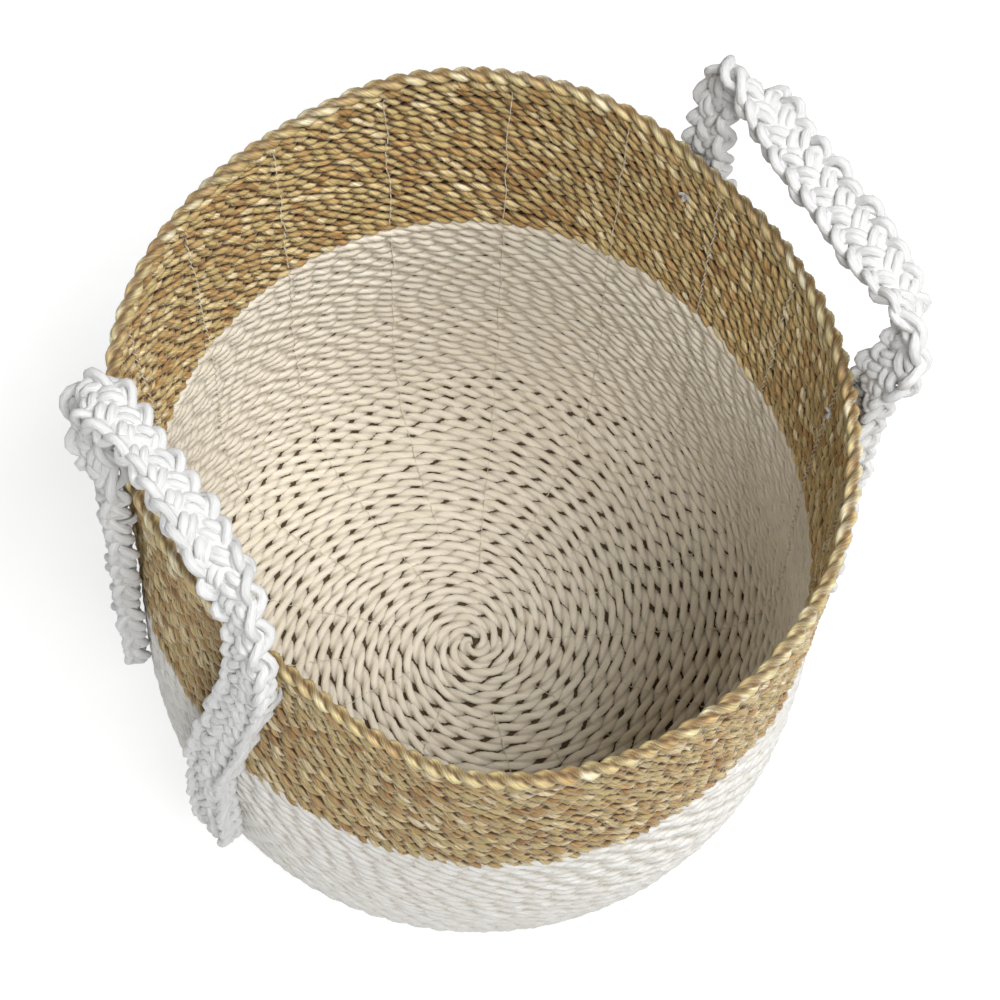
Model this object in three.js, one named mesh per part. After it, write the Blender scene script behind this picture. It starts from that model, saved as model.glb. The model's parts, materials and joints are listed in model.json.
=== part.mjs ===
// Round coiled storage basket: paper-rope floor and lower wall, seagrass upper wall,
// a thicker seagrass rim, and two braided cotton handles that swing on their sewn legs.
// Millimetres, +Z up. The origin is the centre of the underside, and the handles are on +X and -X.

import * as THREE from 'three';

// ---------------------------------------------------------------- driving dimensions

const PAPER_ROPE = 6.2;          // diameter of the twisted paper rope
const SEAGRASS_ROPE = 5.6;       // diameter of the seagrass rope
const RIM_ROPE = 6.8;            // diameter of the seagrass rope that closes the rim
const FLOOR_RADIUS = 126;        // flat part of the coiled floor
const BAND_HEIGHT = 172;         // where the paper rope ends and the seagrass starts
const RIM_HEIGHT = 285;          // centre of the rim rope
const GAP = 0.3;                 // clearance left between touching pieces
const SEAM = 0.5;                // clearance between a sewn leg and the wall or its lashing

const STITCH_LINES = 18;         // lines of sewing thread that hold the turns together
const FACETS = STITCH_LINES * 4; // azimuth steps of each coiled ring
const FIRST_LINE = 17.5;         // azimuth of the first line, clear of the handles' legs
const THREAD = 0.9;              // diameter of the sewing thread

const STRAP_WIDTH = 24;          // braided strap, across its flat face
const STRAP_DEPTH = 13;          // braided strap, through its thickness
const HINGE_HEIGHT = 294;        // level at which a strap bends when its handle swings
const LEG_TOP = 270;             // top of the sewn leg, below the bend
const TWIST = { start: 22, end: 72 }; // where a grip turns from flat on the wall to its own level
const GRIP_STEPS = 36;           // lengths of strap that make up a grip
const LEG_STEPS = 10;            // and a sewn leg
const STRAP_CUT = 3.5;           // cut corners of the strap's section

const LASHING_CORD = 2.4;        // diameter of the strand tied round a leg
const LASHING_HEIGHT = 262;
const KNOT_SIZE = { along: 6, deep: 3.6, high: 5 };
const ROUND_CORNERS = { rim: 8, lashing: 6, thread: 4 };

// Each handle: its two legs, with their azimuth at the rim, how far they drift round on the way down,
// the height they end at and what ties them; the handle's lean from upright, outwards; how far its
// strap turns from flat on the wall; and the curve of its soft grip between the hinge points as
// [along, above them].
const HANDLES = {
  right: {
    legs: {
      rear: { azimuth: 24.5, drift: -2, bottom: 92, tiedWith: 'cotton' },
      front: { azimuth: -24.5, drift: -4, bottom: 92, tiedWith: 'rim' },
    },
    lean: 22,
    turned: 120,
    curve: [
      [-75, 14], [-74, 31], [-63, 42], [-47, 43], [-12, 40], [27, 37], [60, 39], [76, 33], [79, 19],
      [74, 7],
    ],
  },
  left: {
    legs: {
      rear: { azimuth: 164.5, drift: 0, bottom: 92, tiedWith: 'cotton' },
      front: { azimuth: 203.5, drift: -7.5, bottom: 66, tiedWith: 'cotton' },
    },
    lean: -20,
    turned: 90,
    curve: [
      [-58, 6], [-67, 8], [-76, 12], [-80, 22], [-73, 33], [-58, 37], [-41, 37], [-3, 35], [33, 26],
      [50, 12],
    ],
  },
};

// Middle of the wall, from the floor's edge to the rim, as [mean radius, height].
const WALL_LINE = [
  [FLOOR_RADIUS, PAPER_ROPE / 2],
  [FLOOR_RADIUS + 8, PAPER_ROPE / 2 + 0.2],
  [142, 8],
  [149.5, 18],
  [157, 45],
  [160.5, 85],
  [159.5, 142],
  [159, BAND_HEIGHT],
  [160, 228],
  [161.5, RIM_HEIGHT],
];

// Outline of the rim and of the band line seen from above, as [azimuth in degrees, radius].
// The handles pull the wall in, so both are flatter on their sides.
const RIM_PLAN = [
  [0, 154.5], [20, 155], [45, 165.5], [72, 169.5], [100, 164.5], [135, 163], [155, 157.5],
  [175, 149], [192, 145.5], [210, 147], [225, 157], [241, 168], [270, 167.5], [300, 164], [330, 157.5],
];
const BAND_PLAN = [
  [0, 150.5], [45, 157], [90, 160.5], [135, 155.5], [180, 159.5], [225, 165], [270, 166.5], [315, 159],
];

const BODY_RISE = 40;            // height over which the plan grows from round to the band's outline

// ---------------------------------------------------------------- materials

const cloth = (color, roughness) => new THREE.MeshStandardMaterial({ color, roughness, metalness: 0 });
const MATERIALS = {
  paper: cloth(0xe4ddcd, 0.75),
  seagrass: cloth(0xb49a66, 0.6),
  rim: cloth(0xc9ae76, 0.55),
  cotton: cloth(0xf2f1ee, 0.85),
  thread: cloth(0xd9cfb8, 0.5),
};

// ---------------------------------------------------------------- shape of the wall

const radians = THREE.MathUtils.degToRad;
const UPRIGHT = new THREE.Vector3(0, 0, 1);

// A closed outline through [azimuth, radius] points, returned as radius for an azimuth in degrees.
function closedOutline(points) {
  const around = points.map(([azimuth]) => azimuth);
  return (azimuth) => {
    const turn = THREE.MathUtils.euclideanModulo(azimuth, 360);
    const count = points.length;
    const next = around.findIndex((value) => value > turn);
    const after = next < 0 ? count : next;
    const pick = (index) => {
      const lap = Math.floor(index / count);
      const [at, radius] = points[THREE.MathUtils.euclideanModulo(index, count)];
      return [at + 360 * lap, radius];
    };
    const [p0, p1, p2, p3] = [after - 2, after - 1, after, after + 1].map(pick);
    const span = p2[0] - p1[0];
    const t = (turn - p1[0]) / span;
    const slopeIn = ((p2[1] - p0[1]) / (p2[0] - p0[0])) * span;
    const slopeOut = ((p3[1] - p1[1]) / (p3[0] - p1[0])) * span;
    const t2 = t * t;
    const t3 = t2 * t;
    return (2 * t3 - 3 * t2 + 1) * p1[1] + (t3 - 2 * t2 + t) * slopeIn
      + (3 * t2 - 2 * t3) * p2[1] + (t3 - t2) * slopeOut;
  };
}

const wallPoints = WALL_LINE.map(([radius, height]) => new THREE.Vector2(radius, height));
const wallLine = new THREE.SplineCurve(wallPoints);
const rimOutline = closedOutline(RIM_PLAN);
const bandOutline = closedOutline(BAND_PLAN);
const meanRimRadius = WALL_LINE.at(-1)[0];
const meanBandRadius = WALL_LINE.find(([, height]) => height === BAND_HEIGHT)[0];

// How far the wall stands outside its mean radius, at an azimuth in degrees and a height.
function planOffset(azimuth, height) {
  const rim = rimOutline(azimuth) - meanRimRadius;
  const band = bandOutline(azimuth) - meanBandRadius;
  const grown = THREE.MathUtils.smoothstep(height, 0, BAND_HEIGHT - BODY_RISE);
  const risen = THREE.MathUtils.smoothstep(height, BAND_HEIGHT - BODY_RISE, RIM_HEIGHT);
  return THREE.MathUtils.lerp(band * grown, rim, risen);
}

// Parameter of the wall line at a height, found by halving.
function wallParameter(height) {
  let low = 0;
  let high = 1;
  for (let step = 0; step < 40; step += 1) {
    const middle = (low + high) / 2;
    if (wallLine.getPointAt(middle).y < height) low = middle;
    else high = middle;
  }
  return (low + high) / 2;
}

const wallRadius = (azimuth, height) => (
  wallLine.getPointAt(wallParameter(height)).x + planOffset(azimuth, height)
);

// A point beside the wall line: offset is towards the outside, across the wall.
function besideWall(parameter, offset) {
  const point = wallLine.getPointAt(parameter);
  const tangent = wallLine.getTangentAt(parameter);
  return new THREE.Vector2(point.x + tangent.y * offset, point.y - tangent.x * offset);
}

const polar = (radius, azimuth, height) => new THREE.Vector3(
  radius * Math.cos(radians(azimuth)),
  radius * Math.sin(radians(azimuth)),
  height,
);

// Turn a closed [radius, height] outline into a ring that follows the basket's plan.
function ring(outline) {
  const geometry = new THREE.LatheGeometry(outline, FACETS, radians(FIRST_LINE + 90));
  geometry.rotateX(Math.PI / 2);
  const position = geometry.attributes.position;
  const point = new THREE.Vector3();
  for (let index = 0; index < position.count; index += 1) {
    point.fromBufferAttribute(position, index);
    const radius = Math.hypot(point.x, point.y);
    if (radius > FLOOR_RADIUS) {
      const azimuth = THREE.MathUtils.radToDeg(Math.atan2(point.y, point.x));
      const grown = (radius + planOffset(azimuth, point.z)) / radius;
      position.setXY(index, point.x * grown, point.y * grown);
    }
  }
  return geometry;
}

// ---------------------------------------------------------------- swept pieces

// Extrude a section and carry each of its steps to a station: centre, side and up directions.
function sweep(section, stations) {
  const steps = stations.length - 1;
  const extrusion = { depth: steps, steps, bevelEnabled: false };
  const geometry = new THREE.ExtrudeGeometry(new THREE.Shape(section), extrusion);
  const position = geometry.attributes.position;
  for (let index = 0; index < position.count; index += 1) {
    const { centre, side, up } = stations[Math.round(position.getZ(index))];
    const placed = centre.clone()
      .addScaledVector(side, position.getX(index))
      .addScaledVector(up, position.getY(index));
    position.setXYZ(index, placed.x, placed.y, placed.z);
  }
  return geometry;
}

// Stations along points, with the side direction given and up made from it.
function stationsAlong(points, sides) {
  return points.map((centre, index) => {
    const before = points[Math.max(index - 1, 0)];
    const after = points[Math.min(index + 1, points.length - 1)];
    const forward = after.clone().sub(before).normalize();
    const side = sides[index].clone().addScaledVector(forward, -sides[index].dot(forward)).normalize();
    return { centre, side, up: forward.clone().cross(side) };
  });
}

function roundSection(diameter, corners) {
  const circle = new THREE.EllipseCurve(0, 0, diameter / 2, diameter / 2);
  return circle.getPoints(corners).slice(0, -1);
}

// Strap section: a rectangle with cut corners.
function strapSection() {
  const x = STRAP_DEPTH / 2;
  const y = STRAP_WIDTH / 2;
  const cutX = x - STRAP_CUT;
  const cutY = y - STRAP_CUT;
  return [
    [cutX, -y], [x, -cutY], [x, cutY], [cutX, y],
    [-cutX, y], [-x, cutY], [-x, -cutY], [-cutX, -y],
  ].map(([px, py]) => new THREE.Vector2(px, py));
}

// ---------------------------------------------------------------- coiled rings

function floorCoil() {
  return ring([
    new THREE.Vector2(0, 0),
    new THREE.Vector2(FLOOR_RADIUS - GAP, 0),
    new THREE.Vector2(FLOOR_RADIUS - GAP, PAPER_ROPE),
    new THREE.Vector2(0, PAPER_ROPE),
  ]);
}

// A stretch of wall between two parameters of the wall line.
function wallRing(start, end, levels, thickness) {
  const levelAt = (index) => THREE.MathUtils.lerp(start, end, index / levels);
  const outside = [];
  const inside = [];
  for (let index = 0; index <= levels; index += 1) {
    outside.push(besideWall(levelAt(index), thickness / 2));
    inside.push(besideWall(levelAt(levels - index), -thickness / 2));
  }
  return ring([...outside, ...inside, outside[0]]);
}

const BAND_PARAMETER = wallParameter(BAND_HEIGHT);
const WALL_TOP_PARAMETER = wallParameter(RIM_HEIGHT - RIM_ROPE / 2 - GAP);
const LOWER_LEVELS = 16;
const UPPER_LEVELS = 5;

function lowerWall() {
  return wallRing(0, BAND_PARAMETER, LOWER_LEVELS, PAPER_ROPE);
}

function upperWall() {
  const start = wallParameter(BAND_HEIGHT + GAP);
  return wallRing(start, WALL_TOP_PARAMETER, UPPER_LEVELS, SEAGRASS_ROPE);
}

function rimCoil() {
  const centre = new THREE.Vector2(meanRimRadius, RIM_HEIGHT);
  const section = roundSection(RIM_ROPE, ROUND_CORNERS.rim).map((point) => point.clone().add(centre));
  return ring([...section, section[0]]);
}

// ---------------------------------------------------------------- sewing thread

// Every second line starts further from the centre, so that the lines don't crowd together.
const THREAD_STARTS = [34, 62];

function stitchThread(index) {
  const azimuth = FIRST_LINE + (index * 360) / STITCH_LINES;
  const lift = GAP + THREAD / 2;
  const onFloor = PAPER_ROPE + lift;
  const start = THREAD_STARTS[index % THREAD_STARTS.length];
  const points = [polar(start, azimuth, onFloor), polar(FLOOR_RADIUS - PAPER_ROPE, azimuth, onFloor)];
  for (let level = 1; level <= LOWER_LEVELS; level += 1) {
    const beside = besideWall((WALL_TOP_PARAMETER * level) / LOWER_LEVELS, -(PAPER_ROPE / 2 + lift));
    points.push(polar(beside.x + planOffset(azimuth, beside.y), azimuth, beside.y));
  }
  const side = polar(1, azimuth + 90, 0);
  const section = roundSection(THREAD, ROUND_CORNERS.thread);
  return sweep(section, stationsAlong(points, points.map(() => side)));
}

// ---------------------------------------------------------------- handles

// Distance from the middle of the wall to the middle of a strap that is sewn to it.
const STRAP_STAND_OFF = RIM_ROPE / 2 + SEAM + STRAP_DEPTH / 2;

// Azimuth of a leg's middle at a height.
function legAzimuth({ azimuth, drift }, height) {
  return azimuth + drift * (1 - THREE.MathUtils.smoothstep(height, BAND_HEIGHT, LEG_TOP));
}

function sewnLeg(leg) {
  const points = [];
  const sides = [];
  for (let index = 0; index <= LEG_STEPS; index += 1) {
    const height = THREE.MathUtils.lerp(leg.bottom, LEG_TOP, index / LEG_STEPS);
    const azimuth = legAzimuth(leg, height);
    points.push(polar(wallRadius(azimuth, height) + STRAP_STAND_OFF, azimuth, height));
    sides.push(polar(1, azimuth, 0));
  }
  return sweep(strapSection(), stationsAlong(points, sides));
}

function hingePoint({ azimuth }) {
  return polar(wallRadius(azimuth, RIM_HEIGHT) + STRAP_STAND_OFF, azimuth, HINGE_HEIGHT);
}

// The free part of a handle: up from one hinge point, along the grip and down to the other. It lies
// flat against the wall at both ends and flat side up along the grip.
function grip({ legs, lean, turned, curve }) {
  const ordered = Object.values(legs).sort((a, b) => a.azimuth - b.azimuth);
  const [first, last] = ordered.map(hingePoint);
  const along = last.clone().sub(first).normalize();
  const up = UPRIGHT.clone().applyAxisAngle(along, radians(lean));
  const outward = along.clone().cross(up);
  const middle = first.clone().add(last).multiplyScalar(0.5);
  const free = curve.map(([across, above]) => middle.clone()
    .addScaledVector(along, across)
    .addScaledVector(up, above));
  const route = new THREE.CatmullRomCurve3([first, ...free, last], false, 'centripetal');
  const points = route.getSpacedPoints(GRIP_STEPS);
  const step = route.getLength() / GRIP_STEPS;
  const sides = points.map((point, index) => {
    const fromEnd = Math.min(index, GRIP_STEPS - index) * step;
    const turn = radians(turned) * THREE.MathUtils.smoothstep(fromEnd, TWIST.start, TWIST.end);
    const above = outward.clone().cross(route.getTangentAt(index / GRIP_STEPS));
    return outward.clone().multiplyScalar(Math.cos(turn)).addScaledVector(above, Math.sin(turn));
  });
  return sweep(strapSection(), stationsAlong(points, sides));
}

// ---------------------------------------------------------------- lashings and knots

// A strand tied round a sewn leg: out along one side, across its face and back along the other.
function lashing(azimuth, height) {
  const out = polar(1, azimuth, 0);
  const around = polar(1, azimuth + 90, 0);
  const face = wallRadius(azimuth, height) + RIM_ROPE / 2 + GAP;
  const beside = STRAP_WIDTH / 2 + SEAM + LASHING_CORD / 2;
  const outside = SEAM + STRAP_DEPTH + SEAM + LASHING_CORD / 2;
  const cut = LASHING_CORD;
  const near = LASHING_CORD;
  const centre = polar(face, azimuth, height);
  const points = [
    [-beside, near], [-beside, outside - cut], [cut - beside, outside],
    [beside - cut, outside], [beside, outside - cut], [beside, near],
  ].map(([across, away]) => centre.clone().addScaledVector(around, across).addScaledVector(out, away));
  const section = roundSection(LASHING_CORD, ROUND_CORNERS.lashing);
  return sweep(section, stationsAlong(points, points.map(() => UPRIGHT)));
}

// The knot of a lashing, against the inside of the wall.
function insideKnot(azimuth, height) {
  const geometry = new THREE.SphereGeometry(1 / 2, 10, 6);
  geometry.scale(KNOT_SIZE.deep, KNOT_SIZE.along, KNOT_SIZE.high);
  const inside = wallRadius(azimuth, height) - PAPER_ROPE / 2 - GAP - KNOT_SIZE.deep / 2;
  geometry.rotateZ(radians(azimuth));
  const centre = polar(inside, azimuth, height);
  geometry.translate(centre.x, centre.y, centre.z);
  return geometry;
}

// ---------------------------------------------------------------- assembly

const basket = new THREE.Group();

function addPiece(parent, name, geometry, material) {
  const piece = new THREE.Mesh(geometry, material);
  piece.name = name;
  parent.add(piece);
}

const coils = new THREE.Group();
addPiece(coils, 'floor_coil', floorCoil(), MATERIALS.paper);
addPiece(coils, 'lower_wall', lowerWall(), MATERIALS.paper);
addPiece(coils, 'upper_wall', upperWall(), MATERIALS.seagrass);
addPiece(coils, 'rim_coil', rimCoil(), MATERIALS.rim);
basket.add(coils);

const threads = new THREE.Group();
for (let index = 0; index < STITCH_LINES; index += 1) {
  const name = `stitch_thread_${String(index + 1).padStart(2, '0')}`;
  addPiece(threads, name, stitchThread(index), MATERIALS.thread);
}
basket.add(threads);

for (const [side, handle] of Object.entries(HANDLES)) {
  const group = new THREE.Group();
  addPiece(group, `${side}_grip`, grip(handle), MATERIALS.cotton);
  for (const [end, leg] of Object.entries(handle.legs)) {
    const azimuth = legAzimuth(leg, LASHING_HEIGHT);
    addPiece(group, `${side}_${end}_leg`, sewnLeg(leg), MATERIALS.cotton);
    addPiece(group, `${side}_${end}_lashing`, lashing(azimuth, LASHING_HEIGHT), MATERIALS[leg.tiedWith]);
    addPiece(group, `${side}_${end}_knot`, insideKnot(azimuth, LASHING_HEIGHT), MATERIALS.cotton);
  }
  basket.add(group);
}

export default basket;
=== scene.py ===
"""Round coiled storage basket: paper-rope floor and lower wall, seagrass upper wall and rim,
and two plaited cotton handles, each running up one sewn leg, over the top and down the other. Metres, +Z up."""

import json
import math

import bpy
import numpy as np
from mathutils import Matrix, Vector
from mathutils.bvhtree import BVHTree


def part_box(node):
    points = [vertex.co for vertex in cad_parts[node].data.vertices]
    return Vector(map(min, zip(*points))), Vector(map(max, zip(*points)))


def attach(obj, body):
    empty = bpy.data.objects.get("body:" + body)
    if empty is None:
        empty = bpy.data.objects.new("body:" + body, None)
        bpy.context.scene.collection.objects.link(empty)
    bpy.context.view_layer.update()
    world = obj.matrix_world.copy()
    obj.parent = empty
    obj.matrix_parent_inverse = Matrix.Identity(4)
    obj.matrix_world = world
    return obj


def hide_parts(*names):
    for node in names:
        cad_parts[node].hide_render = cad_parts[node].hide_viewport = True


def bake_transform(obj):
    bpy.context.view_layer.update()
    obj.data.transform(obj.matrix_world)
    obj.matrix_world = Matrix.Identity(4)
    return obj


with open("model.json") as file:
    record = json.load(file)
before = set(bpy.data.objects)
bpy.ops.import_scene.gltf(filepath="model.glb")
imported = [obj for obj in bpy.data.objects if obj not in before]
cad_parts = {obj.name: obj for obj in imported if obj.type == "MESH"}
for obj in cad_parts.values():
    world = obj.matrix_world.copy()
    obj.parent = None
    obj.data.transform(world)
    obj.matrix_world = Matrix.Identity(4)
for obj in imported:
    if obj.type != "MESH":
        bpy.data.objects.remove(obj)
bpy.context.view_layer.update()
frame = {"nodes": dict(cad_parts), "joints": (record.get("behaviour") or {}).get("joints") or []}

BASKET = "basket_body"
TURN = 2 * math.pi

# ---------------------------------------------------------------- dimensions

PAPER_ROPE = 0.0062        # diameter of the twisted paper rope, and its share of the wall
PAPER_LAY = 0.0285         # length of one whole twist of the paper rope
SEAGRASS_ROPE = 0.0056
SEAGRASS_LAY = 0.0152
RIM_ROPE = 0.0068
RIM_LAY = 0.0205
FLOOR_CENTRE = (0.0009, 0.0048)   # the coil starts a little behind the middle of the floor
BAND_START = math.radians(134)    # azimuth at which the seagrass takes over from the paper rope

CORD = 0.0044              # diameter of one cotton cord
PLAIT_LENGTH = 0.060       # length of plait in which a strand comes back to the same edge
PLAIT_SWING = 0.0106       # how far a strand's middle swings to each side
PLAIT_DEPTH = 0.0036       # how far it swings to the front and back
STRANDS = 5
CORDS_IN_STRAND = 2
CORD_SPACING = 0.84        # between the cords of a strand, as a share of a cord
GATHER = 0.03              # length over which a plait narrows to its gathered end
TWIST_START = 0.022        # along a grip, where it turns from flat on the wall to its own level
TWIST_END = 0.072

# Each grip's lean outwards, how far its strap turns from flat on the wall, and its curve between
# its hinge points as (along, above them).
GRIPS = {
    "right": (22, 120, [
        (-75, 14), (-74, 31), (-63, 42), (-47, 43), (-12, 40), (27, 37), (60, 39), (76, 33), (79, 19),
        (74, 7),
    ]),
    "left": (-20, 90, [
        (-58, 6), (-67, 8), (-76, 12), (-80, 22), (-73, 33), (-58, 37), (-41, 37), (-3, 35), (33, 26),
        (50, 12),
    ]),
}

THREAD = 0.0005            # diameter of the sewing thread
LASHING_CORD = 0.0024      # diameter of the strand tied round a leg in the CAD
KNOT_SIZE = 0.0013


# ---------------------------------------------------------------- numbers that wander

def smooth_step(value):
    value = np.clip(value, 0.0, 1.0)
    return value * value * (3 - 2 * value)


def wander(seed, along, wavelength, amount):
    """A smooth random value along a length: new heights every wavelength, eased between."""
    knots = int(along[-1] / wavelength) + 3
    heights = np.random.RandomState(seed).uniform(-amount, amount, knots)
    place = along / wavelength
    index = place.astype(int)
    ease = smooth_step(place - index)
    return heights[index] * (1 - ease) + heights[index + 1] * ease


def unit(vectors):
    """The vectors scaled to length one."""
    return vectors / np.linalg.norm(vectors, axis=-1, keepdims=True)


def lengths_along(points):
    """Length of the line through points, up to each of them."""
    steps = np.linalg.norm(np.diff(points, axis=0), axis=1)
    return np.concatenate([[0.0], np.cumsum(steps)])


def resample(values, along, places):
    """Rows of values given at lengths along a line, read off at other places."""
    return np.stack([np.interp(places, along, values[:, k]) for k in range(values.shape[1])], axis=1)


def smoothed(values, times):
    """Ease the corners of a row of points, keeping both ends."""
    for _ in range(times):
        values = values.copy()
        values[1:-1] = (values[:-2] + 2 * values[1:-1] + values[2:]) / 4
    return values


# ---------------------------------------------------------------- the basket's surface, from the CAD

def ray_tree(node):
    """A CAD piece's faces, ready for rays."""
    mesh = frame["nodes"][node].data
    corners = [vertex.co.copy() for vertex in mesh.vertices]
    return BVHTree.FromPolygons(corners, [tuple(face.vertices) for face in mesh.polygons])


class Surface:
    """Middle of the floor and wall. A place on it is an azimuth and a run: the distance along
    the wall's line from the floor's edge, negative on the floor."""

    COLUMNS = 144
    OUTSIDE = 0.4              # a radius well outside the basket

    def __init__(self):
        self.floor_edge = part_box("floor_coil")[1].x
        self.floor_height = PAPER_ROPE / 2
        heights, radii = [], []
        for node, levels in (
            ("lower_wall", np.concatenate([np.linspace(0.0072, 0.03, 9), np.linspace(0.034, 0.168, 30)])),
            ("upper_wall", np.linspace(0.176, 0.279, 24)),
            ("rim_coil", np.array([0.285])),
        ):
            tree = ray_tree(node)
            for level in levels:
                heights.append(level)
                radii.append(self.middle_radii(tree, level))
        edge, height = self.floor_edge, self.floor_height
        lead_in = [(edge, height), (edge + 0.008, height + 0.0002)]
        heights = [height for _, height in lead_in] + heights
        radii = [np.full(self.COLUMNS, radius) for radius, _ in lead_in] + radii
        radii = smoothed(np.array(radii), 4)
        self.heights = np.array(heights)
        line = np.stack([radii.mean(axis=1), self.heights], axis=1)
        self.runs = lengths_along(line)
        self.radii = np.concatenate([radii, radii[:, :1]], axis=1)

    def middle_radii(self, tree, level):
        """Radii halfway between the inner and outer faces, at every column's azimuth."""
        found = []
        for column in range(self.COLUMNS):
            azimuth = TURN * column / self.COLUMNS
            out = Vector((math.cos(azimuth), math.sin(azimuth), 0))
            inner = tree.ray_cast(Vector((0, 0, level)), out)[3]
            outer = self.OUTSIDE - tree.ray_cast(out * self.OUTSIDE + Vector((0, 0, level)), -out)[3]
            found.append((inner + outer) / 2)
        return np.array(found)

    def run_at(self, height):
        return float(np.interp(height, self.heights, self.runs))

    def points(self, azimuth, run):
        """Points of the surface for arrays of azimuths in radians and runs."""
        height = np.interp(run, self.runs, self.heights)
        level = np.clip(np.interp(run, self.runs, np.arange(len(self.runs))), 0, len(self.runs) - 1.001)
        row = level.astype(int)
        column_place = np.mod(azimuth, TURN) / TURN * self.COLUMNS
        column = np.minimum(column_place.astype(int), self.COLUMNS - 1)
        up, aside = level - row, column_place - column
        low = self.radii[row, column] * (1 - aside) + self.radii[row, column + 1] * aside
        high = self.radii[row + 1, column] * (1 - aside) + self.radii[row + 1, column + 1] * aside
        radius = low * (1 - up) + high * up
        on_floor = run < 0
        radius = np.where(on_floor, self.floor_edge + run, radius)
        height = np.where(on_floor, self.floor_height, height)
        shift = np.where(on_floor, 1 - radius / self.floor_edge, 0)
        return np.stack([
            radius * np.cos(azimuth) + FLOOR_CENTRE[0] * shift,
            radius * np.sin(azimuth) + FLOOR_CENTRE[1] * shift,
            height,
        ], axis=1)

    def frame_at(self, azimuth, run):
        """Points with the direction up the wall and the direction out of it."""
        step = 0.0015
        centre = self.points(azimuth, run)
        rise = unit(self.points(azimuth, run + step) - self.points(azimuth, run - step))
        around = np.stack([-np.sin(azimuth), np.cos(azimuth), np.zeros_like(azimuth)], axis=1)
        outward = unit(np.cross(around, rise))
        return centre, rise, outward


surface = Surface()


# ---------------------------------------------------------------- meshes

def mesh_piece(name, vertices, faces, material, attributes=()):
    """A mesh object from arrays of vertices and four-cornered faces, shaded smooth."""
    mesh = bpy.data.meshes.new(name)
    mesh.vertices.add(len(vertices))
    mesh.vertices.foreach_set("co", vertices.ravel())
    mesh.loops.add(faces.size)
    mesh.loops.foreach_set("vertex_index", faces.ravel())
    mesh.polygons.add(len(faces))
    mesh.polygons.foreach_set("loop_start", np.arange(0, faces.size, faces.shape[1]))
    mesh.update(calc_edges=True)
    mesh.polygons.foreach_set("use_smooth", np.ones(len(faces), dtype=bool))
    for attribute, values in attributes:
        kind = "FLOAT_VECTOR" if values.ndim == 2 else "FLOAT"
        field = "vector" if values.ndim == 2 else "value"
        layer = mesh.attributes.new(attribute, kind, "POINT")
        layer.data.foreach_set(field, values.ravel().astype(np.float32))
    mesh.materials.append(material)
    piece = bpy.data.objects.new(name, mesh)
    bpy.context.scene.collection.objects.link(piece)
    return piece


def tube_faces(stations, corners):
    """Faces of a tube with closed ends: the first and last rings fold onto themselves."""
    ring = np.arange(corners)
    nxt = np.roll(ring, -1)
    start = (np.arange(stations - 1) * corners)[:, None]
    faces = [start + ring, start + nxt, start + nxt + corners, start + ring + corners]
    return np.stack(faces, axis=2).reshape(-1, 4)


class Strands:
    """Tubes gathered into one mesh, with the place along and around each strand kept for its material."""

    def __init__(self):
        self.vertices, self.faces, self.strand = [], [], []
        self.scalars = {"crease_shade": [], "tone": [], "inside": []}
        self.count = 0

    def add(self, rings, along, angles, crease_shade, tone, inside):
        stations, corners = rings.shape[:2]
        self.vertices.append(rings.reshape(-1, 3))
        self.faces.append(tube_faces(stations, corners) + self.count)
        self.count += stations * corners
        around = np.stack([np.cos(angles), np.sin(angles)], axis=-1)
        around = np.broadcast_to(around, (stations, corners, 2))
        length = np.broadcast_to(along[:, None, None], (stations, corners, 1))
        self.strand.append(np.concatenate([length, around], axis=2).reshape(-1, 3))
        for name, values in (("crease_shade", crease_shade), ("tone", tone), ("inside", inside)):
            self.scalars[name].append(np.broadcast_to(values, (stations, corners)).ravel())

    def piece(self, name, material):
        attributes = [("strand", np.concatenate(self.strand))]
        attributes += [(scalar, np.concatenate(values)) for scalar, values in self.scalars.items()]
        vertices, faces = np.concatenate(self.vertices), np.concatenate(self.faces)
        return mesh_piece(name, vertices, faces, material, attributes)


def tapered_ends(along, length):
    """1 along most of a strand, falling to almost nothing at both ends."""
    total = along[-1]
    near = np.minimum(along, total - along) / length
    return np.sqrt(np.clip(near * (2 - near), 0.0004, 1.0)) * (near < 1) + (near >= 1)


ROPE_CORNERS = 12
PLY_SPREAD = 0.75          # distance of a ply's middle from the rope's, as a share of the ply's radius


def two_plies(angles):
    """Outline of two round plies side by side, as a radius for each angle; 1 at its widest."""
    reach = PLY_SPREAD * np.abs(np.cos(angles)) + np.sqrt(1 - (PLY_SPREAD * np.sin(angles)) ** 2)
    return reach / (1 + PLY_SPREAD)


def bead_tones(seed, angles, twist):
    """A random tone for each bead: the stretch of one ply between two dips into the rope."""
    second = (np.cos(angles) < -0.01).astype(int)[None, :]
    index = np.floor((twist[:, None] + math.pi * second) / math.pi).astype(int) * 2 + second
    tones = np.random.RandomState(seed).uniform(0, 1, 4096)
    return tones[np.mod(index, len(tones))]


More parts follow.
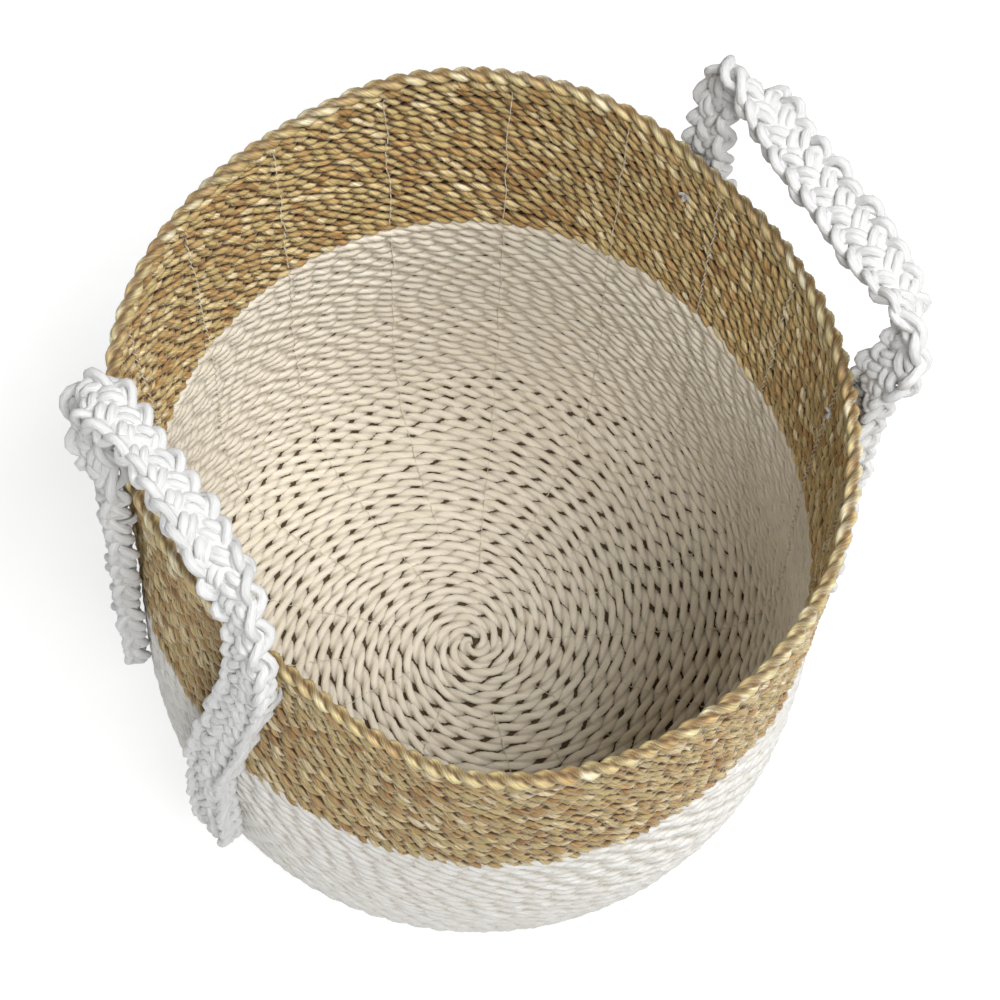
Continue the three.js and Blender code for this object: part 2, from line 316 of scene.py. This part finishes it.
def twisted_rope(strands, centre, rise, outward, along, seed, lay, high, deep, taper, uneven):
    """A rope of two plies. Each ring of the mesh turns with the twist, so a ply runs along the mesh.
    high and deep are the rope's half sizes up the wall and across it."""
    angles = TURN * np.arange(ROPE_CORNERS) / ROPE_CORNERS
    outline = two_plies(angles)
    pace = TURN / (lay * (1 + wander(seed, along, lay * 1.7, uneven * 2.2)))
    twist = np.concatenate([[0.0], np.cumsum(np.diff(along) * pace[1:])]) + seed
    thickness = (1 + wander(seed + 1, along, lay * 0.7, uneven)) * tapered_ends(along, taper)
    first = 1 + wander(seed + 2, along, lay * 0.9, uneven)
    second = 1 + wander(seed + 3, along, lay * 0.9, uneven)
    ply = np.where(np.cos(angles)[None, :] >= 0, first[:, None], second[:, None])
    turned = angles[None, :] + twist[:, None]
    reach = outline[None, :] * thickness[:, None] * ply
    rings = (
        centre[:, None, :]
        + (reach * np.cos(turned) * high)[..., None] * rise[:, None, :]
        + (reach * np.sin(turned) * deep)[..., None] * outward[:, None, :]
    )
    # Painted shade: a mask that is highest in the crease between the two plies and where a ply faces the turn
    # above or below.
    between_plies = 1 - np.abs(np.cos(angles))[None, :]
    between_turns = np.abs(np.cos(turned)) ** 2 * 0.95
    crease_shade = np.maximum(between_plies, between_turns)
    # The rope's inner side, which the material tints with painted light.
    inside = smooth_step(0.5 - np.sin(turned) * reach * 0.5)
    strands.add(rings, along + seed * 0.37, angles, crease_shade, bead_tones(seed, angles, twist), inside)


CORD_CORNERS = 10


def soft_cord(strands, points, side, diameter, seed, roughness=0.05, flatness=1.0):
    """One cord of slightly uneven thickness along points. side is a direction across it, in which it
    can be flatter than round."""
    along = lengths_along(points)
    forward = unit(np.gradient(points, axis=0))
    side = unit(side - forward * np.sum(side * forward, axis=1, keepdims=True))
    over = np.cross(forward, side)
    angles = TURN * np.arange(CORD_CORNERS) / CORD_CORNERS
    radius = diameter / 2 * (1 + wander(seed, along, 0.006, roughness)) * tapered_ends(along, diameter / 2)
    rings = (
        points[:, None, :]
        + (radius[:, None] * flatness * np.cos(angles))[..., None] * side[:, None, :]
        + (radius[:, None] * np.sin(angles))[..., None] * over[:, None, :]
    )
    strands.add(rings, along + seed * 0.37, angles, 0.0, 0.5, 0.0)


# ---------------------------------------------------------------- materials

class Shader:
    """A Principled material, built node by node."""

    def __init__(self, name, roughness, sheen, specular):
        self.material = bpy.data.materials.new(name)
        self.material.use_nodes = True
        self.nodes = self.material.node_tree.nodes
        self.links = self.material.node_tree.links
        self.surface = self.nodes["Principled BSDF"]
        self.surface.inputs["Roughness"].default_value = roughness
        self.surface.inputs["Sheen Weight"].default_value = sheen
        self.surface.inputs["Specular IOR Level"].default_value = specular

    def connect(self, source, target):
        self.links.new(source, target)

    def attribute(self, name):
        node = self.nodes.new("ShaderNodeAttribute")
        node.attribute_name = name
        return node

    def stretched(self, vector, scale):
        node = self.nodes.new("ShaderNodeVectorMath")
        node.operation = "MULTIPLY"
        node.inputs[1].default_value = scale
        self.connect(vector, node.inputs[0])
        return node.outputs["Vector"]

    def noise(self, vector, scale, detail, roughness=0.55):
        node = self.nodes.new("ShaderNodeTexNoise")
        node.inputs["Scale"].default_value = scale
        node.inputs["Detail"].default_value = detail
        node.inputs["Roughness"].default_value = roughness
        self.connect(vector, node.inputs["Vector"])
        return node.outputs["Fac"]

    def ramp(self, value, stops):
        node = self.nodes.new("ShaderNodeValToRGB")
        elements = node.color_ramp.elements
        while len(elements) < len(stops):
            elements.new(0.5)
        for element, (position, colour) in zip(elements, stops):
            element.position = position
            element.color = (*colour, 1.0)
        self.connect(value, node.inputs["Fac"])
        return node.outputs["Color"]

    def mix(self, kind, amount, first, second):
        node = self.nodes.new("ShaderNodeMix")
        node.data_type = "RGBA"
        node.blend_type = kind
        sockets = [node.inputs[name] for name in ("Factor", "A", "B")]
        for socket, value in zip(sockets, (amount, first, second)):
            if hasattr(value, "is_output"):
                self.connect(value, socket)
            elif isinstance(value, tuple):
                socket.default_value = (*value, 1.0)
            else:
                socket.default_value = value
        return node.outputs["Result"]

    def math(self, operation, first, second):
        node = self.nodes.new("ShaderNodeMath")
        node.operation = operation
        for socket, value in zip(node.inputs, (first, second)):
            if hasattr(value, "is_output"):
                self.connect(value, socket)
            else:
                socket.default_value = value
        return node.outputs["Value"]

    def range(self, value, low, high, to_low, to_high):
        node = self.nodes.new("ShaderNodeMapRange")
        for socket, number in zip(("From Min", "From Max", "To Min", "To Max"), (low, high, to_low, to_high)):
            node.inputs[socket].default_value = number
        self.connect(value, node.inputs["Value"])
        return node.outputs["Result"]

    def bump(self, height, strength, distance):
        node = self.nodes.new("ShaderNodeBump")
        node.inputs["Strength"].default_value = strength
        node.inputs["Distance"].default_value = distance
        self.connect(height, node.inputs["Height"])
        self.connect(node.outputs["Normal"], self.surface.inputs["Normal"])

    def colour(self, socket):
        self.connect(socket, self.surface.inputs["Base Color"])


def fibre_material(name, settings, leaf_stops, inside_painted_light, crease_shade_colour, crease_shade_amount, fibres, bead_share):
    """Twisted plant fibre: each bead has its own tone, with fine lines along each ply. Painted shade darkens
    the creases between plies and turns, and painted light tints the rope's inner side.
    settings are the roughness, sheen and specular level."""
    shader = Shader(name, *settings)
    strand = shader.attribute("strand").outputs["Vector"]
    bead = shader.attribute("tone").outputs["Fac"]
    leaf = shader.noise(shader.stretched(strand, (40.0, 1.3, 1.3)), 1.0, 2.0, 0.5)
    fibre = shader.noise(shader.stretched(strand, (85.0, 3.6, 3.6)), 1.0, 3.0, 0.65)
    leaf = shader.range(leaf, 0.3, 0.7, 0.0, 1.0)
    bead = shader.math("MULTIPLY", bead, bead_share)
    leaf = shader.math("MULTIPLY", leaf, 1 - bead_share)
    tone = shader.math("ADD", bead, leaf)
    colour = shader.ramp(tone, leaf_stops)
    # Painted light: the rope's inner side is multiplied by its material's tint, lighter or warmer than the
    # outer side, for the light that falls inside the basket.
    inside = shader.attribute("inside").outputs["Fac"]
    colour = shader.mix("MULTIPLY", inside, colour, inside_painted_light)
    lines = shader.range(fibre, 0.32, 0.68, 1.0 - fibres, 1.0 + fibres * 0.4)
    colour = shader.mix("MULTIPLY", 1.0, colour, lines)
    # Painted shade: the creases between plies and turns are mixed towards a dark colour.
    crease_shade = shader.attribute("crease_shade").outputs["Fac"]
    painted_crease_shade = shader.range(crease_shade, 0.5, 0.92, 0.0, crease_shade_amount)
    colour = shader.mix("MIX", painted_crease_shade, colour, crease_shade_colour)
    shader.colour(colour)
    shader.bump(fibre, 0.6, 0.0008)
    return shader.material


def painted_shade_material(name, colour):
    """Painted shade: the dark, grainy colour of a sheet behind the rope, standing in for the shaded depth
    between turns.
    """
    shader = Shader(name, 0.95, 0.0, 0.05)
    place = shader.nodes.new("ShaderNodeTexCoord").outputs["Object"]
    grain = shader.noise(place, 900.0, 2.0)
    darker = tuple(0.6 * channel for channel in colour)
    shader.colour(shader.ramp(grain, [(0.35, darker), (0.65, colour)]))
    return shader.material


def cotton_material():
    """Soft white cord with a knobbly, spun surface."""
    shader = Shader("cotton_cord", 0.85, 0.25, 0.2)
    strand = shader.attribute("strand").outputs["Vector"]
    fibre = shader.noise(shader.stretched(strand, (260.0, 2.6, 2.6)), 1.0, 3.0, 0.6)
    soft = shader.noise(shader.stretched(strand, (45.0, 1.2, 1.2)), 1.0, 2.0, 0.5)
    colour = shader.ramp(soft, [(0.3, (0.65, 0.65, 0.645)), (0.7, (0.73, 0.73, 0.725))])
    lines = shader.range(fibre, 0.3, 0.7, 0.88, 1.03)
    shader.colour(shader.mix("MULTIPLY", 1.0, colour, lines))
    shader.bump(fibre, 0.9, 0.0009)
    return shader.material


def thread_material():
    """Waxy sewing thread."""
    shader = Shader("sewing_thread", 0.6, 0.1, 0.3)
    strand = shader.attribute("strand").outputs["Vector"]
    fibre = shader.noise(shader.stretched(strand, (900.0, 1.5, 1.5)), 1.0, 2.0, 0.5)
    shader.colour(shader.ramp(fibre, [(0.3, (0.56, 0.50, 0.38)), (0.7, (0.76, 0.71, 0.60))]))
    shader.bump(fibre, 0.4, 0.0002)
    return shader.material


def floor_material():
    """A pale studio floor that glows a little, so that it stays white under the basket."""
    shader = Shader("studio_floor", 0.9, 0.0, 0.1)
    place = shader.nodes.new("ShaderNodeTexCoord").outputs["Object"]
    grain = shader.noise(place, 40.0, 3.0)
    shader.colour(shader.ramp(grain, [(0.3, (0.36, 0.36, 0.36)), (0.7, (0.38, 0.38, 0.38))]))
    shader.surface.inputs["Emission Color"].default_value = (1.0, 1.0, 1.0, 1.0)
    shader.surface.inputs["Emission Strength"].default_value = 0.7
    return shader.material


SEAGRASS_LEAVES = [
    (0.05, (0.270, 0.140, 0.045)),
    (0.22, (0.430, 0.260, 0.100)),
    (0.40, (0.530, 0.370, 0.165)),
    (0.55, (0.490, 0.390, 0.175)),
    (0.72, (0.650, 0.500, 0.265)),
    (0.95, (0.790, 0.700, 0.500)),
]
RIM_LEAVES = [
    (0.05, (0.400, 0.250, 0.100)),
    (0.25, (0.590, 0.410, 0.180)),
    (0.42, (0.690, 0.540, 0.270)),
    (0.55, (0.640, 0.530, 0.250)),
    (0.72, (0.790, 0.680, 0.400)),
    (0.95, (0.890, 0.840, 0.660)),
]
PAPER_TONES = [
    (0.10, (0.700, 0.675, 0.625)),
    (0.50, (0.755, 0.740, 0.705)),
    (0.90, (0.800, 0.790, 0.765)),
]
# Painted shade: dark colours for the sheets behind the ropes, standing in for the shade between turns.
SEAGRASS_SHADE_COLOUR = (0.055, 0.034, 0.016)  # the depth between turns of seagrass
PAPER_SHADE_COLOUR = (0.10, 0.072, 0.042)  # and of paper rope
# Painted light: tints for the inner side of the ropes, warmer on the paper and lighter on the seagrass, for
# how light falls inside the basket; the rim's inner side is left plain.
WARM_INSIDE_LIGHT = (1.08, 1.01, 0.88)  # tints of the inner side, next to the outer one
BRIGHT_INSIDE_LIGHT = (1.3, 1.28, 1.2)
PLAIN = (1.0, 1.0, 1.0)

# For each rope, the tint after its tones is painted light on its inner side, and the dark colour and amount
# after that are its painted crease shade.
MATERIALS = {
    "paper_rope": fibre_material(
        "paper_rope", (0.7, 0.1, 0.25), PAPER_TONES, WARM_INSIDE_LIGHT, (0.26, 0.19, 0.10), 0.38, 0.08, 0.35,
    ),
    "seagrass": fibre_material(
        "seagrass_rope", (0.5, 0.1, 0.4), SEAGRASS_LEAVES, BRIGHT_INSIDE_LIGHT, (0.075, 0.034, 0.009), 1.0, 0.5, 0.65,
    ),
    "rim_seagrass": fibre_material(
        "seagrass_rim", (0.45, 0.1, 0.45), RIM_LEAVES, PLAIN, (0.14, 0.075, 0.025), 0.9, 0.5, 0.65,
    ),
    "cotton": cotton_material(),
    "thread": thread_material(),
}
# Painted shade for the sheets behind the paper rope and the seagrass.
SHADE_SHEETS = {
    "paper_rope": painted_shade_material("paper_painted_shade", PAPER_SHADE_COLOUR),
    "seagrass": painted_shade_material("seagrass_painted_shade", SEAGRASS_SHADE_COLOUR),
}


def finish_piece(piece):
    """Fix a piece to the basket."""
    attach(piece, BASKET)
    return piece


# ---------------------------------------------------------------- coils

class Coil:
    """A rope wound turn on turn up the surface. Its middle rises from one run to another, and its last
    turn lies level. One that starts over another coil begins a turn early, hidden in that one's top."""

    def __init__(self, first_run, last_run, pitch, starts_early):
        self.first_run, self.last_run = first_run, last_run
        self.pitch = pitch
        self.start = -1.0 if starts_early else 0.0
        self.turns = (last_run - first_run) / pitch + 1

    def azimuth_and_run(self, turns):
        run = self.first_run + self.pitch * turns
        return BAND_START + TURN * turns, np.clip(run, min(self.first_run, run[0]), self.last_run)

    def rows_at(self, azimuth):
        """Runs of the turns that pass an azimuth."""
        first = np.mod(azimuth - BAND_START, TURN) / TURN
        return np.minimum(self.first_run + self.pitch * np.arange(first, self.turns, 1.0), self.last_run)

    def even_turns(self, spacing, start, end):
        """Turn numbers at which the stations of the coil lie one spacing apart."""
        rough = np.linspace(start, end, max(int((end - start) * 400), 50))
        along = lengths_along(surface.points(*self.azimuth_and_run(rough)))
        return np.interp(np.arange(0, along[-1], spacing), along, rough)


class Rope:
    """How a rope is made and how closely its turns lie. lay is the length of one twist, spacing the
    length of one step of the mesh, closeness how far a turn spreads into its neighbours, slack how far
    the rope strays and uneven how much its thickness varies."""

    def __init__(self, diameter, lay, spacing, closeness, slack, uneven, slot):
        self.diameter, self.lay, self.spacing = diameter, lay, spacing
        self.closeness, self.slack, self.uneven = closeness, slack, uneven
        self.slot = slot


FLOOR_PAPER = Rope(PAPER_ROPE, PAPER_LAY, 0.0019, 1.30, 0.0003, 0.07, "paper_rope")
WALL_PAPER = Rope(PAPER_ROPE, PAPER_LAY * 0.85, 0.0019, 1.34, 0.00025, 0.06, "paper_rope")
BAND_SEAGRASS = Rope(SEAGRASS_ROPE, SEAGRASS_LAY, 0.00125, 1.3, 0.0006, 0.14, "seagrass")


def wind(name, coil, start, end, rope, seed):
    """One stretch of a coil as a twisted rope, run a little into the stretches beside it."""
    azimuth, run = coil.azimuth_and_run(coil.even_turns(rope.spacing, start - STRETCH_LAP, end + STRETCH_LAP))
    centre, rise, outward = surface.frame_at(azimuth, run)
    along = lengths_along(centre)
    centre = centre + rise * wander(seed + 5, along, 0.031, rope.slack)[:, None]
    centre = centre + outward * wander(seed + 6, along, 0.017, rope.slack)[:, None]
    strands = Strands()
    high = coil.pitch / 2 * rope.closeness
    deep = rope.diameter / 2
    sizes = (high, deep, rope.diameter)
    twisted_rope(strands, centre, rise, outward, along, seed, rope.lay, *sizes, rope.uneven)
    return finish_piece(strands.piece(name, MATERIALS[rope.slot]))


STRETCH_LAP = 0.008        # in turns
BAND_RUN = surface.run_at(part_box("upper_wall")[0].z)
RIM_RUN = surface.run_at(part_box("rim_coil")[0].z)


def fitted_coil(low, high, rope_size, starts_early):
    """A coil that fills the wall between two runs with whole turns."""
    pitch = (high - low) / round((high - low) / rope_size)
    return Coil(low + pitch / 2, high - pitch / 2, pitch, starts_early)


PAPER = fitted_coil(-surface.floor_edge, BAND_RUN, PAPER_ROPE, False)
SEAGRASS = fitted_coil(BAND_RUN, RIM_RUN, SEAGRASS_ROPE, True)
CENTRE_START = -0.36       # turns before the first whole one, where the rope curls into the centre
RIM_LAP = 0.02             # how far the rim's ends overlap, in turns


def build_coils():
    """The floor, the lower wall in two stretches and the band in three."""
    floor_turns = surface.floor_edge / PAPER.pitch
    wall_middle = (floor_turns + PAPER.turns) / 2
    floor = wind("floor_rope", PAPER, CENTRE_START, floor_turns, FLOOR_PAPER, 11)
    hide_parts("floor_coil")
    low = wind("wall_rope_low", PAPER, floor_turns, wall_middle, WALL_PAPER, 23)
    wind("wall_rope_high", PAPER, wall_middle, PAPER.turns, WALL_PAPER, 37)
    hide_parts("lower_wall")
    parts = np.linspace(SEAGRASS.start, SEAGRASS.turns, 4)
    band = [
        wind(f"band_rope_{part + 1}", SEAGRASS, parts[part], parts[part + 1], BAND_SEAGRASS, 51 + 13 * part)
        for part in range(3)
    ]
    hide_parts("upper_wall")


def shade_sheet(name, runs, slot):
    """A thin sheet along the middle of the wall that stops light through the gaps between turns, coloured
    with painted shade so that it is seen only as their dark depth.
    """
    columns = 120
    azimuths = TURN * np.arange(columns) / columns
    rows = [surface.points(azimuths, np.full(columns, run)) for run in runs]
    faces = tube_faces(len(runs), columns)
    return finish_piece(mesh_piece(name, np.concatenate(rows), faces, SHADE_SHEETS[slot]))


def build_shade_sheets():
    # Sheets of painted shade behind the paper rope and behind the seagrass.
    shade_sheet("paper_shade_sheet", np.linspace(-surface.floor_edge + 0.0005, BAND_RUN, 90), "paper_rope")
    shade_sheet("seagrass_shade_sheet", np.linspace(BAND_RUN, surface.runs[-1], 24), "seagrass")


def build_rim():
    """The thicker rope along the top, one turn with its ends laid over each other."""
    run = surface.runs[-1]
    azimuth = np.linspace(BAND_START, BAND_START + TURN * (1 + RIM_LAP), 900)
    lap = smooth_step((azimuth - BAND_START - TURN) / (TURN * RIM_LAP))
    centre, rise, outward = surface.frame_at(azimuth, np.full_like(azimuth, run))
    along = lengths_along(centre)
    centre = centre + outward * wander(5, along, 0.03, 0.0004)[:, None]
    centre[:, 2] += lap * RIM_ROPE * 0.2 + wander(6, along, 0.035, 0.0004)
    strands = Strands()
    half = RIM_ROPE * 0.56
    twisted_rope(strands, centre, rise, outward, along, 3, RIM_LAY, half, half, RIM_ROPE, 0.09)
    rim = finish_piece(strands.piece("rim_rope", MATERIALS["rim_seagrass"]))
    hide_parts("rim_coil")


# ---------------------------------------------------------------- sewing thread

def thread_line(strands, node, seed):
    """One line of sewing on the inside: over each turn of rope and down between the turns."""
    corners = np.array([vertex.co for vertex in frame["nodes"][node].data.vertices])
    azimuth = math.atan2(corners[:, 1].mean(), corners[:, 0].mean())
    start = np.hypot(corners[:, 0], corners[:, 1]).min() - surface.floor_edge
    rows = np.concatenate([PAPER.rows_at(azimuth), SEAGRASS.rows_at(azimuth)])
    rows = np.sort(rows[rows > start])
    middles = (rows[:-1] + rows[1:]) / 2
    quarters = [(rows[:-1] * 3 + rows[1:]) / 4, (rows[:-1] + rows[1:] * 3) / 4]
    runs = np.sort(np.concatenate([rows, middles, *quarters]))
    near_row = np.abs(runs[:, None] - rows[None, :]).min(axis=1) / (PAPER.pitch / 2)
    lean = wander(seed, runs - runs[0], 0.012, 0.0009)
    place = azimuth + lean / 0.15
    centre, _, outward = surface.frame_at(place, runs)
    inside = PAPER_ROPE / 2 + THREAD * 0.2 - near_row ** 2 * 0.0024
    points = centre - outward * inside[:, None]
    aside = np.tile([math.sin(azimuth), -math.cos(azimuth), 0.0], (len(points), 1))
    soft_cord(strands, points, aside, THREAD, seed)


def build_threads():
    """Every line of sewing, as one piece."""
    nodes = sorted(name for name in frame["nodes"] if name.startswith("stitch_thread"))
    strands = Strands()
    for index, node in enumerate(nodes):
        thread_line(strands, node, 200 + index)
    piece = finish_piece(strands.piece("sewing_threads", MATERIALS["thread"]))
    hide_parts(*nodes)


# ---------------------------------------------------------------- handles

def corners_of(node):
    """Corners of a CAD piece."""
    return np.array([vertex.co for vertex in frame["nodes"][node].data.vertices])


def leg_line(node):
    """Middle of a sewn leg, from its lower end up, as the centres of its rings of corners."""
    corners = corners_of(node)
    low, high = corners[:, 2].min(), corners[:, 2].max()
    levels = np.linspace(low, high, 5)
    half = (levels[1] - levels[0]) / 2
    line = np.array([corners[np.abs(corners[:, 2] - level) < half].mean(axis=0) for level in levels])
    line[:, 2] = levels
    return line


def grip_line(side, first, last, middle):
    """Middle of the free part from one hinge point to the other, with the direction through the strap."""
    lean, turned, curve = GRIPS[side]
    along = unit(last - first)
    lean = math.radians(lean)
    outward = np.cross(along, [0.0, 0.0, 1.0])
    up = np.array([0.0, 0.0, math.cos(lean)]) + outward * math.sin(lean)
    outward = np.cross(along, up)
    free = middle + np.array(curve)[:, :1] * 0.001 * along + np.array(curve)[:, 1:] * 0.001 * up
    points = np.concatenate([[first], free, [last]])
    lengths = lengths_along(points)
    places = np.arange(0, lengths[-1], 0.002)
    points = smoothed(resample(points, lengths, places), 40)
    from_end = np.minimum(places, lengths[-1] - places)
    turn = math.radians(turned) * smooth_step((from_end - TWIST_START) / (TWIST_END - TWIST_START))[:, None]
    above = np.cross(outward, unit(np.gradient(points, axis=0)))
    return points, outward * np.cos(turn) + above * np.sin(turn)


def handle_route(side):
    """The whole strap as points and directions through its thickness, in the order of the joint's axis."""
    joint = next(joint for joint in frame["joints"] if joint["name"] == f"{side}_handle_swing")
    middle, axis = np.array(joint["pos_m"]), np.array(joint["axis"])
    legs = [leg_line(f"{side}_{end}_leg") for end in ("front", "rear")]
    reaches = [(leg[-1] - middle) @ axis for leg in legs]
    if reaches[0] > reaches[1]:
        legs.reverse()
        reaches.reverse()
    grip, through = grip_line(side, middle + reaches[0] * axis, middle + reaches[1] * axis, middle)
    up, down = legs[0], legs[1][::-1]
    points = np.concatenate([up, grip, down])
    sides = np.concatenate([unit(up * [1, 1, 0]), through, unit(down * [1, 1, 0])])
    along = lengths_along(points)
    places = np.arange(0, along[-1], 0.0015)
    points = smoothed(resample(points, along, places), 20)
    sides = unit(smoothed(resample(sides, along, places), 30))
    return points, sides


def plait(side, seed):
    """Strands of parallel cords, plaited flat round a soft core and gathered at both ends. On its way
    from edge to edge a strand goes over one neighbour and under the next."""
    points, through = handle_route(side)
    along = lengths_along(points)
    total = along[-1]
    pace = TURN / PLAIT_LENGTH
    places = np.arange(0, total, 0.0018)
    ends = smooth_step(np.minimum(places, total - places) / GATHER)
    loose = 1 + wander(seed + 90, places, 0.028, 0.10)
    strands = Strands()
    soft_cord(strands, points[4:-4], through[4:-4], PLAIT_SWING * 1.3, seed, flatness=0.4)
    for strand in range(STRANDS):
        phase = pace * places + TURN * strand / STRANDS
        swing = PLAIT_SWING * (0.35 + 0.65 * ends) * loose * (1 + wander(seed + strand, places, 0.02, 0.10))
        across = swing * np.arcsin(0.9 * np.sin(phase)) / math.asin(0.9)
        depth = PLAIT_DEPTH * np.sin((STRANDS - 1) * phase) * (0.6 + 0.4 * ends)
        slope = np.gradient(across, places)
        turned = phase - 0.45 * np.sin(2 * phase)
        lean = 1 / np.sqrt(1 + slope ** 2)
        for cord in range(CORDS_IN_STRAND):
            number = cord - (CORDS_IN_STRAND - 1) / 2
            key = seed + 10 * strand + cord
            beside = number * CORD * CORD_SPACING * (0.6 + 0.4 * ends)
            flat = beside * np.cos(turned)
            x = across + flat * lean + wander(key, places, 0.009, 0.0014)
            s = np.clip(places - flat * slope * lean, 0, total)
            y = depth - beside * np.abs(np.sin(turned)) + wander(key + 50, places, 0.008, 0.0013)
            centre = resample(points, along, s)
            out = unit(resample(through, along, s))
            forward = unit(resample(np.gradient(points, axis=0), along, s))
            over = np.cross(forward, out)
            path = centre + x[:, None] * over + y[:, None] * out
            soft_cord(strands, smoothed(path, 1), out, CORD, key, roughness=0.12)
    return strands.piece(f"{side}_plait", MATERIALS["cotton"])


def build_handles():
    """Each plait is one piece."""
    for side, seed in (("right", 400), ("left", 600)):
        piece = plait(side, seed)
        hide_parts(f"{side}_grip", f"{side}_front_leg", f"{side}_rear_leg")
        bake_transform(piece)


# ---------------------------------------------------------------- lashings and knots

def squared(wave):
    """A sine or cosine with fuller corners, so that a loop drawn with it is nearly a rectangle."""
    return np.sign(wave) * np.abs(wave) ** 0.55


def loop_around(strands, node, turns, diameter, seed):
    """Strands wrapped round a leg where its CAD lashing is."""
    low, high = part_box(node)
    corners = corners_of(node)
    centre = corners.mean(axis=0)
    azimuth = math.atan2(centre[1], centre[0])
    out = np.array([math.cos(azimuth), math.sin(azimuth), 0.0])
    around = np.array([-math.sin(azimuth), math.cos(azimuth), 0.0])
    across = (corners @ around).max() - (centre @ around) - LASHING_CORD * 2.2
    near, far = (corners @ out).min() - 0.006, (corners @ out).max() - LASHING_CORD * 1.7
    height = (low.z + high.z) / 2
    for turn in range(turns):
        lift = (turn - (turns - 1) / 2) * diameter * 0.95
        angle = np.linspace(0, TURN, 49)
        x = squared(np.cos(angle)) * (far - near) / 2 + (far + near) / 2
        y = squared(np.sin(angle)) * across + centre @ around
        points = x[:, None] * out + y[:, None] * around
        points[:, 2] = height + lift + 0.0012 * np.sin(angle * 2 + seed + turn)
        upright = np.tile([0.0, 0.0, 1.0], (len(points), 1))
        soft_cord(strands, smoothed(points, 3), upright, diameter, seed + turn)


def knot_at(strands, node, diameter, seed):
    """A small overhand knot with two short tails."""
    low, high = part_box(node)
    centre = np.array((low + high) / 2)
    azimuth = math.atan2(centre[1], centre[0])
    out = np.array([math.cos(azimuth), math.sin(azimuth), 0.0])
    around = np.array([-math.sin(azimuth), math.cos(azimuth), 0.0])
    t = np.linspace(-0.3, TURN * 0.98, 60)
    x = 0.55 * np.cos(3 * t)
    y = np.sin(t) + 1.1 * np.sin(2 * t)
    z = np.cos(t) - 1.1 * np.cos(2 * t)
    curl = x[:, None] * out + y[:, None] * around + z[:, None] * np.array([0, 0, 1.0])
    points = centre + KNOT_SIZE * curl
    soft_cord(strands, points, np.tile(out, (len(points), 1)), diameter, seed)


def build_lashings():
    """White cord holds each leg and is knotted inside the wall; one leg is tied on with seagrass."""
    white, golden = Strands(), Strands()
    white_nodes, golden_nodes = [], []
    for side in ("right", "left"):
        for end in ("front", "rear"):
            lashing, knot = f"{side}_{end}_lashing", f"{side}_{end}_knot"
            seed = 700 + 10 * len(white_nodes)
            is_golden = (side, end) == ("right", "front")
            strands, nodes = (golden, golden_nodes) if is_golden else (white, white_nodes)
            loop_around(strands, lashing, 2, LASHING_CORD * 0.8, seed)
            nodes.append(lashing)
            knot_at(white, knot, LASHING_CORD * 0.5, seed + 5)
            white_nodes.append(knot)
    for name, strands, slot, nodes in (
        ("white_lashings", white, "cotton", white_nodes),
        ("seagrass_lashing", golden, "rim_seagrass", golden_nodes),
    ):
        piece = finish_piece(strands.piece(name, MATERIALS[slot]))
        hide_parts(*nodes)


# ---------------------------------------------------------------- studio

CAMERA_PLACE = (-0.2751, -0.4597, 1.3456)
CAMERA_PITCH = 65.08       # degrees below level
CAMERA_COMPASS = 31.79     # degrees clockwise from +Y
CAMERA_ROLL = 3.47
CAMERA_LENS = 99.85
LIGHT_TARGET = Vector((0, 0, 0.12))
LIGHT_DISTANCE = 2.4
STUDIO_SIZE = 6.0
STUDIO_LEVEL = -0.0004     # just below the floor's rope, so that only its lowest fibres sink in


def build_camera():
    camera = bpy.data.objects.new("camera", bpy.data.cameras.new("camera"))
    camera.data.lens = CAMERA_LENS
    camera.data.sensor_width = 36.0
    camera.data.clip_end = 20.0
    turned = (
        Matrix.Rotation(-math.radians(CAMERA_COMPASS), 4, "Z")
        @ Matrix.Rotation(math.radians(90 - CAMERA_PITCH), 4, "X")
        @ Matrix.Rotation(math.radians(CAMERA_ROLL), 4, "Z")
    )
    camera.matrix_world = Matrix.Translation(CAMERA_PLACE) @ turned
    bpy.context.scene.collection.objects.link(camera)
    bpy.context.scene.camera = camera


def area_light(name, azimuth, elevation, size, power):
    """A soft round light that looks at the middle of the basket."""
    light = bpy.data.lights.new(name, "AREA")
    light.shape = "DISK"
    light.size = size
    light.energy = power
    lamp = bpy.data.objects.new(name, light)
    angle, height = math.radians(azimuth), math.radians(elevation)
    away = Vector((math.cos(angle) * math.cos(height), math.sin(angle) * math.cos(height), math.sin(height)))
    lamp.location = LIGHT_TARGET + away * LIGHT_DISTANCE
    lamp.rotation_euler = away.to_track_quat("Z", "Y").to_euler()
    bpy.context.scene.collection.objects.link(lamp)


def build_studio():
    sides = np.array([[-1, -1, 0], [1, -1, 0], [1, 1, 0], [-1, 1, 0]], dtype=float)
    corners = sides * STUDIO_SIZE
    corners[:, 2] = STUDIO_LEVEL
    floor = mesh_piece("studio_floor", corners, np.array([[0, 1, 2, 3]]), floor_material())
    world = bpy.data.worlds.new("studio")
    world.use_nodes = True
    background = world.node_tree.nodes["Background"]
    background.inputs["Color"].default_value = (1.0, 1.0, 1.0, 1.0)
    background.inputs["Strength"].default_value = 0.12
    bpy.context.scene.world = world
    area_light("key", azimuth=-100, elevation=60, size=0.9, power=40)
    area_light("right", azimuth=-30, elevation=65, size=0.9, power=34)
    area_light("rear", azimuth=150, elevation=45, size=1.2, power=10)
    bpy.context.scene.view_settings.view_transform = "Standard"


build_camera()
build_studio()
build_coils()
build_shade_sheets()
build_rim()
build_threads()
build_handles()
build_lashings()
